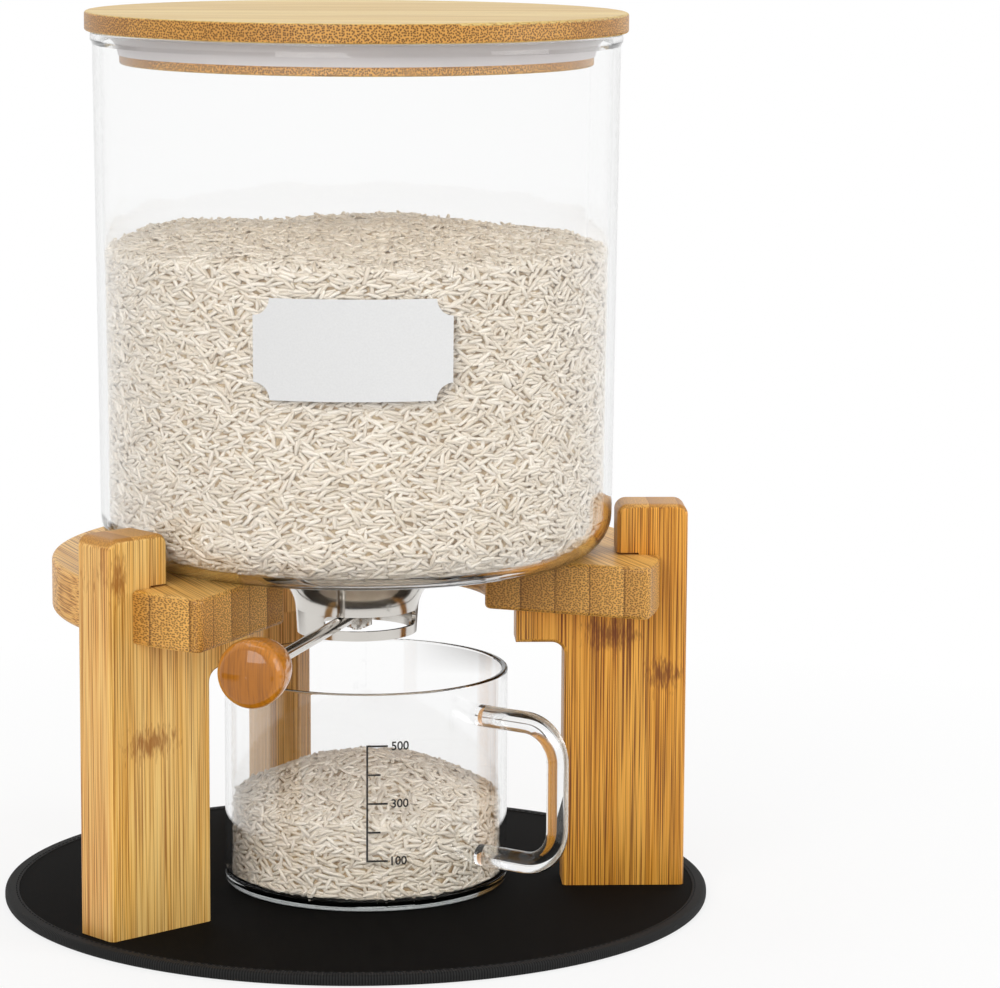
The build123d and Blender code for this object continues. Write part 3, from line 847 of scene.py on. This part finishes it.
@dataclass
class RiceFill:
    """Rice in a round vessel: grains laid over the heap's whole skin, and a core behind them, darker by
    painted shade for the gaps.
    """

    name: str
    body: str
    centre: tuple[float, float]
    corners: list[tuple[float, float]]  # outline of the heap, from the axis on top to the axis below
    radii: list[float]
    seed: int
    swell: float  # how far the top rises and falls
    lump_lengths: tuple[float, float, float] = (15.0, 11.0, 5.0)  # of the swell's three sines, for a radian
    lump_shares: tuple[float, float, float] = (0.5, 0.3, 0.2)
    density: float = 0.2  # grains for each square millimetre of skin
    half_sizes: tuple[float, float, float] = (3.1, 0.86, 0.68)
    size_spread: float = 0.12
    size_range: Range = (0.7, 1.2)  # that the spread is cut to
    tone_range: Range = (0.0, 0.8)  # of the grains' own tones
    lie_spread: float = 0.6  # radians either way from level, along the glass
    held_tilt: float = 0.03  # radians out of the skin, along the glass
    loose_tilt: float = 0.22  # the same on top
    loose_from: float = 0.6  # how far the skin faces up where it counts as the top
    depth_range: Range = (0.05, 1.3)
    outline_steps: int = 600
    core_depth: float = 1.6
    core_hole: float = 0.5  # least radius off the axis
    core_every: int = 12  # steps of the outline to one of the core
    core_segments: int = 96
    grains_in_piece: int = 6400

    def wave(self, points: np.ndarray) -> np.ndarray:
        """Rise of the heap: three crossed sines of falling length, full at the top and none below the middle.

        Args:
            points: Points of the heap, in millimetres.

        Returns:
            The rise at each point.
        """
        x, y, height = points.T
        low, high = self.corners[-1][1], self.corners[0][1]
        share = np.clip((height - low) / (high - low) * 2 - 1, 0, 1)
        phases = np.stack([x, y, x + y]) / np.array(self.lump_lengths)[:, None]
        phases[0] += self.seed
        return self.swell * share * (np.array(self.lump_shares) @ np.sin(phases))

    def skin(self) -> tuple[np.ndarray, np.ndarray, np.ndarray]:
        """Points along the heap's outline, with the outward direction and the running length at each.

        Returns:
            Points, unit normals and lengths.
        """
        corners = rounded(self.corners, self.radii)
        length = np.concatenate([[0], np.cumsum(np.linalg.norm(np.diff(corners, axis=0), axis=1))])
        even = np.linspace(0, length[-1], self.outline_steps)
        outline = np.stack([np.interp(even, length, column) for column in corners.T], axis=1)
        along = unit(np.gradient(outline, axis=0))
        return outline, np.stack([-along[:, 1], along[:, 0]], axis=1), even

    def grains(self, grain: Material) -> None:
        """Lays the grains, each in the skin at a random turn.

        Their places spread evenly over the skin's area by the golden-ratio rule for two numbers: the n-th
        is at the fractions of 0.7549 n and 0.5698 n.

        Args:
            grain: Material of the grains.
        """
        dice = np.random.default_rng(self.seed)
        outline, normal, length = self.skin()
        area = np.concatenate([[0], np.cumsum((outline[1:, 0] + outline[:-1, 0]) * np.pi * np.diff(length))])
        count = int(area[-1] * self.density)
        spread = (0.5 + np.arange(count)[:, None] * EVEN_STEPS) % 1
        at = np.interp(spread[:, 0] * area[-1], area, length)
        radius, height, out, up = (np.interp(at, length, column) for column in (*outline.T, *normal.T))
        turn = FULL_TURN * spread[:, 1]
        loose = up > self.loose_from
        depth = self.half_sizes[2] + dice.uniform(*self.depth_range, count)
        outwards, sideways = polar(out, turn, up), polar(1.0, turn + np.pi / 2, 0.0)
        slope = np.cross(outwards, sideways)
        lie = np.where(loose, dice.uniform(0, np.pi, count), dice.normal(0, self.lie_spread, count))
        tilt = np.where(loose, dice.normal(0, self.loose_tilt, count), dice.normal(0, self.held_tilt, count))
        level = np.cos(lie)[:, None] * sideways + np.sin(lie)[:, None] * slope
        along = unit(level + tilt[:, None] * outwards)
        across = unit(np.cross(outwards, along))
        frames = np.stack([along, across, np.cross(along, across)], axis=1)
        places = polar(radius, turn, height)
        places[:, 2] += self.wave(places)
        places += np.array([*self.centre, 0]) - depth[:, None] * outwards
        scatter = dice.normal(1, self.size_spread, (count, 1)).clip(*self.size_range)
        sizes = np.array(self.half_sizes) * scatter
        tones = dice.uniform(*self.tone_range, count)
        parts = np.array_split(np.arange(count), math.ceil(count / self.grains_in_piece))
        for number, part in enumerate(parts, 1):
            points, faces = Bead().lay(places[part], frames[part], sizes[part])
            piece = make_piece(f"{self.name}_grains_{number}", points, faces, self.body)
            tone = piece.data.attributes.new("tone", "FLOAT", "POINT")
            each = np.repeat(tones[part], len(points) // len(part))
            tone.data.foreach_set("value", each.astype(np.float32))
            piece.data.materials.append(grain)

    def core(self, shade: Material) -> None:
        """Turns the heap's outline, set back by a fixed depth, into a closed body with the same wave on top.

        Args:
            shade: Material of the core, darkened by painted shade.
        """
        outline, normal, _ = self.skin()
        inner = (outline - self.core_depth * normal)[:: self.core_every]
        inner[:, 0] = inner[:, 0].clip(self.core_hole)
        inner = np.concatenate([[[0, inner[0, 1]]], inner, [[0, inner[-1, 1]]]])
        points, faces = lathe(inner, self.core_segments, False)
        points[:, 2] += self.wave(points)
        points[:, :2] += self.centre
        piece = make_piece(f"{self.name}_core", points, faces, self.body)
        piece.data.materials.append(shade)


@dataclass
class Mat:
    """Round mat: a cloth-faced pad, a folded tape round its edge and the row of stitches that holds it."""

    tape_width: float = 5.6
    air: float = 0.12  # under what stands on the mat, so that the glass does not touch the cloth
    tape_rise: float = 0.35  # how far the tape stands above the pad
    tape_round: float = 1.6
    pad_round: float = 0.8
    stitch_pitch: float = 3.0
    stitch_half_sizes: tuple[float, float, float] = (1.05, 0.3, 0.24)
    stitch_inset: float = 1.1  # from the tape's inner edge to the stitches
    segments: int = 256

    def build(self, cloth: Material, tape: Material, thread: Material) -> None:
        """Makes the three pieces and hides the two solids that they stand for.

        Args:
            cloth: Material of the pad's face.
            tape: Material of the edge.
            thread: Material of the stitches.
        """
        low, high = span("mat_binding")
        foot, radius, top = low[2], high[0], high[2] - self.air
        inner = radius - self.tape_width
        pad_edge = inner + self.pad_round
        pad_corners = [(0, top), (pad_edge, top), (pad_edge, foot), (0, foot)]
        pad_profile = rounded(pad_corners, [0, self.pad_round, self.pad_round, 0])
        pad = make_piece("mat_cloth", *lathe(pad_profile, self.segments, False), "stand")
        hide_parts("mat_pad")
        dress(pad, cloth)

        crown = top + self.tape_rise
        middle = (inner + self.tape_width / 2, foot)
        loop = rounded(
            [middle, (inner, foot), (inner, crown), (radius, crown), (radius, foot), middle],
            [0, self.tape_rise, self.tape_rise, self.tape_round, self.tape_round, 0],
        )[:-1]
        edge = make_piece("mat_edge_tape", *lathe(loop, self.segments, True), "stand")
        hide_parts("mat_binding")
        dress(edge, tape)

        line = inner + self.stitch_inset
        turn = round_turn(round(FULL_TURN * line / self.stitch_pitch))
        along = polar(1.0, turn + np.pi / 2, 0.0)
        up = np.broadcast_to([0.0, 0.0, 1.0], along.shape)
        frames = np.stack([along, np.cross(up, along), up], axis=1)
        sizes = np.broadcast_to(self.stitch_half_sizes, along.shape)
        stitches = make_piece("mat_stitches", *Bead().lay(polar(line, turn, crown), frames, sizes), "stand")
        dress(stitches, thread)


@dataclass
class Stand:
    """Three bamboo legs and the bamboo ring that they slot into."""

    leg_vessel: str = "#A87030"  # the fibre ends are sanded smooth on the legs' tops
    left_turn: float = 200.0
    right_turn: float = 340.0
    back_turn: float = 90.0

    def dress(self) -> None:
        """Gives each plank its own bamboo: the left leg lighter by painted light, the right leg darker by
        painted shade.
        """
        woods = {
            # Left leg: pale and honey lighter than the back leg's, painted light over the plank's own strips
            # and knuckles.
            "left_leg": Bamboo(
                "bamboo_left_leg", pale="#FFDA8A", honey="#F2B650", vessel=self.leg_vessel,
                turn=self.left_turn, shift=62.0, strip=17.0, lines=0.85,
                knuckles=((111.5, 78.5, 15.0, 7.5), (126.0, 143.0, 5.0, 12.0)),
            ),
            # Right leg: pale, honey and brown darker than the back leg's, painted shade over the plank's own
            # strips and knuckles.
            "right_leg": Bamboo(
                "bamboo_right_leg", pale="#FBB950", honey="#D58A1E", brown="#6B3003", vessel=self.leg_vessel,
                turn=self.right_turn, shift=137.0, strip=11.5, lines=0.95, seams=0.6,
                knuckles=((100.0, 106.0, 13.0, 8.0), (121.5, 90.0, 8.5, 8.0)),
            ),
            "back_leg": Bamboo(
                "bamboo_back_leg", vessel=self.leg_vessel, turn=self.back_turn, shift=311.0, strip=12.0,
                knuckles=((104.0, 60.0, 8.0, 7.0),),
            ),
            "support_ring": Bamboo(
                "bamboo_ring", fibres=Fibres.ALONG_Y, shift=23.0, strip=10.5, seams=0.75,
                knuckles=((-70.0, 40.0, 7.0, 9.0),),
            ),
        }
        for node, wood in woods.items():
            repaint(wood.material(), node)


@dataclass
class Jar:
    """Glass jar with its label and the rice in it."""

    wall: float = 3.0
    floor: float = 3.2
    inner_corner: float = 14.0
    foot_radius: float = 100.5
    draft: float = 2.0
    gap: float = 0.25  # between the grains and the glass
    rice_wall_height: float = 124.0
    rice_peak: float = 5.0
    rice_shoulder: float = 4.0
    inlet_margin: float = 1.0
    inlet_round: float = 1.0

    def build(self, glass: Material, paper: Material) -> None:
        """Dresses the glass and the label."""
        repaint(glass, "glass_jar")
        repaint(paper, "jar_label")

    def rice(self) -> RiceFill:
        """Works out the rice's outline from the jar's inside and the inlet on its floor.

        Returns:
            The fill, with its top a low heap.
        """
        low, high = span("glass_jar")
        inlet = span("inlet_flange")[1]
        floor = low[2] + self.floor + self.gap
        foot = self.foot_radius - self.wall - self.gap
        brim = low[2] + self.rice_wall_height
        wide = foot + self.draft * self.rice_wall_height / (high[2] - low[2])
        step, over_inlet = inlet[0] + self.inlet_margin, inlet[2] + self.gap
        top = [(0, brim + self.rice_peak), (wide, brim)]
        return RiceFill(
            name="jar_rice",
            body="jar",
            centre=(0.0, 0.0),
            corners=[*top, (foot, floor), (step, floor), (step, over_inlet), (0, over_inlet)],
            radii=[0, self.rice_shoulder, self.inner_corner, self.inlet_round, self.inlet_round, 0],
            seed=5,
            swell=2.5,
        )


@dataclass
class Lid:
    """Bamboo lid: top disc, plug disc and the silicone seal between them."""

    fibre_turn: float = -20.0
    fibre_shift: float = 410.0

    def dress(self, silicone: Material) -> None:
        """Gives the discs a pale bamboo with dotted ends, and the seal its silicone.

        Args:
            silicone: Material of the seal.
        """
        low, high = span("lid_top")
        pale = Bamboo(
            "bamboo_lid", pale="#E0C274", honey="#C9A048", brown="#93671F", narrow="#D4AE5C",
            cut_pale="#E0A652", cut_end="#C0853A", vessel="#4A2604", fibres=Fibres.ALONG_X,
            turn=self.fibre_turn, shift=self.fibre_shift, strip=38.0, fibre=0.7, lines=0.5, seams=0.0,
            vessel_pitch=0.9, dots=1.0, lean=0.0, rim_radius=(high - low)[0] / 2,
        )
        repaint(pale.material(), "lid_top", "lid_plug")
        repaint(silicone, "lid_seal")


@dataclass
class Outlet:
    """Steel outlet under the jar, its gate, and the lever with the wooden knob."""

    metal: tuple[str, ...] = (
        "outlet_body", "inlet_flange", "clamp_nut", "gate_seat", "gate_rotor", "pivot_pin", "pivot_clip",
        "lever_rod",
    )

    def dress(self, steel: Material, silicone: Material, knob: Material) -> None:
        """Gives the outlet's pieces their finishes.

        Args:
            steel: Material of the metal pieces.
            silicone: Material of the gaskets.
            knob: Material of the knob.
        """
        repaint(steel, *self.metal)
        repaint(silicone, "inner_gasket", "outer_gasket")
        repaint(knob, "lever_knob")


@dataclass
class Cup:
    """Measuring cup: glass body and handle, the printed scale and the rice in it."""

    wall: float = 2.4
    floor: float = 3.2
    inner_corner: float = 3.0
    gap: float = 0.25
    rice_wall_height: float = 32.5
    rice_peak: float = 19.0
    rice_shoulder: float = 4.0
    heap_bend: Range = (0.5, 0.6)  # where the heap bends, as shares of its reach and its rise
    heap_round: float = 16.0  # radius of that bend
    scale_azimuth: float = 249.5  # where the scale's upright line stands
    first_mark: float = 21.0  # of the lowest mark over the cup's foot
    mark_step: float = 11.4
    marks: tuple[int, ...] = (100, 200, 300, 400, 500)
    numbered: tuple[int, ...] = (100, 300, 500)
    line: float = 0.75
    long_mark: float = 8.0
    short_mark: float = 5.2
    digit_height: float = 3.5
    digit_gap: float = 1.4
    digit_bold: float = 0.018  # how far the strokes swell, as a share of the type size
    print_height: float = 0.06

    def dress(self, glass: Material) -> None:
        """Gives the body and the handle their glass."""
        repaint(glass, "cup_glass", "cup_handle")

    def axis(self) -> tuple[np.ndarray, float]:
        """Middle of the cup's foot in plan, and its outer radius."""
        low, high = span("cup_glass")
        return (low + high)[:2] / 2, (high - low)[0] / 2

    def wrap(self, flat: np.ndarray) -> np.ndarray:
        """Bends a flat print round the cup.

        A point (s, h) of the print goes to the angle s / radius from the upright line, at height h.

        Args:
            flat: Points of the print: distance to the right of the upright line, and height.

        Returns:
            The points on the cup's wall.
        """
        centre, radius = self.axis()
        reach = radius + self.print_height
        angle = math.radians(self.scale_azimuth) + flat[:, 0] / reach
        return polar(reach, angle, flat[:, 1]) + np.array([*centre, 0])

    def bar(self, left: float, right: float, low: float, high: float) -> tuple[np.ndarray, np.ndarray]:
        """Rectangle of the print as one row of quads, each a millimetre wide to follow the wall.

        Args:
            left: Left edge, from the upright line.
            right: Right edge.
            low: Height of the lower edge.
            high: Height of the upper edge.

        Returns:
            Points of the flat print, and the quads.
        """
        steps = max(2, math.ceil(right - left) + 1)
        s, h = np.meshgrid(np.linspace(left, right, steps), [low, high])
        return np.stack([s.ravel(), h.ravel()], axis=1), grid_faces(2, steps, False, False)

    def mark_height(self, mark: int) -> float:
        """Height of a millilitre mark over the part's foot."""
        low, _ = span("cup_glass")
        return low[2] + self.first_mark + self.mark_step * self.marks.index(mark)

    def scale(self, ink: Material) -> None:
        """Prints the scale: an upright line, a bar for each mark and numbers at the long ones.

        Args:
            ink: Material of the print.
        """
        half = self.line / 2
        heights = [self.mark_height(mark) for mark in self.marks]
        bars = [self.bar(-half, half, heights[0] - half, heights[-1] + half)]
        for mark, height in zip(self.marks, heights):
            reach = self.long_mark if mark in self.numbered else self.short_mark
            bars.append(self.bar(half, reach, height - half, height + half))
        start = np.cumsum([0, *(len(points) for points, _ in bars[:-1])])
        points = self.wrap(np.concatenate([points for points, _ in bars]))
        faces = np.concatenate([quads + first for (_, quads), first in zip(bars, start)])
        dress(make_piece("cup_scale", points, [faces], "cup"), ink)
        for mark in self.numbered:
            self.number(mark, ink)

    def number(self, mark: int, ink: Material) -> None:
        """Prints one number beside its mark: plain digits as a flat mesh, bent round the wall.

        Args:
            mark: Millilitres to print.
            ink: Material of the print.
        """
        curve = bpy.data.curves.new(f"digits_{mark}", "FONT")
        curve.body = str(mark)
        curve.size = 1.0
        curve.offset = self.digit_bold
        text = bpy.data.objects.new(curve.name, curve)
        bpy.context.scene.collection.objects.link(text)
        mesh = bpy.data.meshes.new_from_object(text.evaluated_get(bpy.context.evaluated_depsgraph_get()))
        bpy.data.objects.remove(text)
        flat = np.array([vertex.co[:2] for vertex in mesh.vertices])
        outlines = [tuple(polygon.vertices) for polygon in mesh.polygons]
        bpy.data.meshes.remove(mesh)
        faces = [np.array([o for o in outlines if len(o) == k]) for k in sorted(set(map(len, outlines)))]
        size = self.digit_height / np.ptp(flat[:, 1])
        corner = np.array([self.long_mark + self.digit_gap, self.mark_height(mark) - self.digit_height / 2])
        points = self.wrap((flat - flat.min(axis=0)) * size + corner)
        dress(make_piece(f"cup_number_{mark}", points, faces, "cup"), ink)

    def rice(self) -> RiceFill:
        """Works out the rice's outline from the cup's inside.

        Returns:
            The fill, heaped in the middle.
        """
        low, _ = span("cup_glass")
        centre, radius = self.axis()
        floor = low[2] + self.floor + self.gap
        inside = radius - self.wall - self.gap
        brim = floor + self.rice_wall_height
        reach, rise = self.heap_bend
        top = [(0, brim + self.rice_peak), (reach * inside, brim + rise * self.rice_peak)]
        return RiceFill(
            name="cup_rice",
            body="cup",
            centre=(float(centre[0]), float(centre[1])),
            corners=[*top, (inside, brim), (inside, floor), (0, floor)],
            radii=[0, self.heap_round, self.rice_shoulder, self.inner_corner, 0],
            seed=11,
            swell=3.0,
        )


@dataclass
class Studio:
    """Pale floor, soft light and the camera at the photograph's viewing angle."""

    focal_pixels: float = 4100.0
    image_width: float = 1000.0
    sensor: float = 36.0
    clip: Range = (0.05, 50.0)  # metres
    azimuth: float = -20.75  # of the camera, from the part's front
    distance: float = 1599.0  # level distance from the part's axis
    height: float = 420.6
    pitch: float = 9.22  # degrees down
    yaw: float = 2.025  # degrees to the right of the part's axis
    roll: float = 0.35
    aim_height: float = 180.0  # that the lamps point at
    floor_radius: float = 4000.0
    floor_segments: int = 96
    floor_drop: float = 0.2  # below the part's foot
    floor_colour: str = "#F6F6F5"
    near_white: float = 0.8  # how much of the floor's look by the part is plain white
    shade_start: float = 180.0  # the floor turns plain white from here on
    shade_end: float = 520.0
    daylight: float = 0.42  # of the world, on matt surfaces
    band_colour: str = "#4A3B2C"
    band_range: Range = (0.1, -0.5)
    bands_round: float = 5.0
    bands_turn: float = 0.6  # radians
    bands_radius: float = 650.0  # middle of the ring of floor that shows them
    bands_width: float = 440.0

    def camera(self) -> None:
        """Places the camera: level distance and height from the part, then yaw, pitch and roll."""
        turn, yaw, pitch, roll = (math.radians(a) for a in (self.azimuth, self.yaw, self.pitch, self.roll))
        data = bpy.data.cameras.new("camera")
        data.sensor_width = self.sensor
        data.lens = self.focal_pixels * self.sensor / self.image_width
        data.clip_start, data.clip_end = self.clip
        camera = bpy.data.objects.new("camera", data)
        place = Vector((math.sin(turn) * self.distance, -math.cos(turn) * self.distance, self.height)) * MM
        camera.matrix_world = Matrix.Translation(place)
        for angle, axis in ((turn - yaw, "Z"), (math.pi / 2 - pitch, "X"), (roll, "Z")):
            camera.matrix_world = camera.matrix_world @ Matrix.Rotation(angle, 4, axis)
        bpy.context.scene.collection.objects.link(camera)
        bpy.context.scene.camera = camera

    def mirrored(self, graph: Graph, place: NodeSocket) -> NodeSocket:
        """Colour of the floor in mirrors: white, with soft dark bands by a sine of the angle round the part.

        The bands lie on a ring of the floor, where the steel under the jar mirrors them and the jar does not.

        Args:
            graph: Graph of the floor.
            place: Point of the floor.

        Returns:
            White to every other ray, and the banded colour to mirrored ones.
        """
        phase = graph.calc("MULTIPLY_ADD", graph.angle(place), self.bands_round, self.bands_turn)
        share = graph.ramp(graph.calc("SINE", phase), *self.band_range)
        beside = graph.calc("ABSOLUTE", graph.calc("SUBTRACT", graph.length(place), self.bands_radius * MM))
        ring = graph.ramp(beside, self.bands_width * MM / 4, self.bands_width * MM / 2, 1.0, 0.0)
        glossy = graph.add("ShaderNodeLightPath").outputs["Is Glossy Ray"]
        seen = graph.calc("MULTIPLY", graph.calc("MULTIPLY", share, ring), glossy)
        return graph.mixed(seen, "#FFFFFF", self.band_colour)

    def shown(self, graph: Graph) -> NodeSocket:
        """1 for the rays that see the background: from the camera, from mirrors and through glass.

        Args:
            graph: Graph of the floor or the world.

        Returns:
            The socket.
        """
        rays = graph.add("ShaderNodeLightPath").outputs
        direct = graph.calc("MAXIMUM", rays["Is Camera Ray"], rays["Is Glossy Ray"])
        return graph.calc("MAXIMUM", direct, rays["Is Transmission Ray"])

    def floor(self) -> None:
        """Lays a round pale floor, which shows near white and keeps the part's shadow."""
        points = polar(self.floor_radius, round_turn(self.floor_segments), -self.floor_drop)
        mesh = bpy.data.meshes.new("floor")
        mesh.from_pydata((points * MM).tolist(), [], [list(range(len(points)))])
        floor = bpy.data.objects.new("floor", mesh)
        bpy.context.scene.collection.objects.link(floor)
        pale = linear(self.floor_colour)
        material, graph, shader = new_material("pale_floor", Roughness=0.9, Base_Color=pale)
        place = graph.place()
        whiter = graph.ramp(graph.length(place), self.shade_start * MM, self.shade_end * MM, self.near_white)
        share = graph.calc("MULTIPLY", self.shown(graph), whiter)
        white = graph.add("ShaderNodeEmission", {"Color": self.mirrored(graph, place), "Strength": 1.0})
        look = graph.add("ShaderNodeMixShader", {0: share, 1: shader.outputs[0], 2: white.outputs[0]})
        graph.feed(graph.tree.nodes["Material Output"], {"Surface": look.outputs[0]})
        mesh.materials.append(material)

    def world(self) -> None:
        """Makes the surroundings: white to the eye, in mirrors and through glass, and soft on matt things."""
        world = bpy.data.worlds.new("studio")
        bpy.context.scene.world = world
        world.use_nodes = True
        graph = Graph(world.node_tree)
        strength = graph.between(self.shown(graph), self.daylight, 1.0)
        graph.feed(graph.tree.nodes["Background"], {"Color": (1, 1, 1, 1), "Strength": strength})

    def lamps(self) -> None:
        """Hangs three large soft lamps: key at the front left, fill at the right and one overhead."""
        for name, place, size, power in (
            ("key_lamp", (-1.1, -1.3, 0.9), 1.0, 13.0),
            ("fill_lamp", (1.4, -1.0, 0.75), 1.0, 9.5),
            ("top_lamp", (0.1, 0.3, 1.7), 1.2, 9.0),
        ):
            data = bpy.data.lights.new(name, "AREA")
            data.size = size
            data.energy = power
            lamp = bpy.data.objects.new(name, data)
            lamp.location = place
            aim = Vector((0, 0, self.aim_height * MM)) - Vector(place)
            lamp.rotation_euler = aim.to_track_quat("-Z", "Y").to_euler()
            bpy.context.scene.collection.objects.link(lamp)

    def build(self) -> None:
        """Sets up everything around the part."""
        self.camera()
        self.floor()
        self.world()
        self.lamps()
        bpy.context.scene.view_settings.view_transform = "Standard"


def main() -> None:
    """Builds and dresses the dispenser from the mat up."""
    logging.basicConfig(level=logging.INFO, format="%(message)s")
    glass = BorosilicateGlass().material()
    steel = PolishedSteel().material()
    silicone = MilkySilicone().material()
    grain = PolishedRice().material()
    shade = ShadedRice().material()
    thread = BlackCloth(name="black_thread", dark="#1A1A1B", light="#333335").material()
    Mat().build(BlackCloth().material(), RibbedTape().material(), thread)
    Stand().dress()
    jar = Jar()
    jar.build(glass, LabelPaper().material())
    Lid().dress(silicone)
    Outlet().dress(steel, silicone, LacqueredBeech().material())
    cup = Cup()
    cup.dress(glass)
    cup.scale(FiredInk().material())
    for fill in (jar.rice(), cup.rice()):
        fill.core(shade)
        fill.grains(grain)
    Studio().build()


if __name__ == "__main__":
    main()
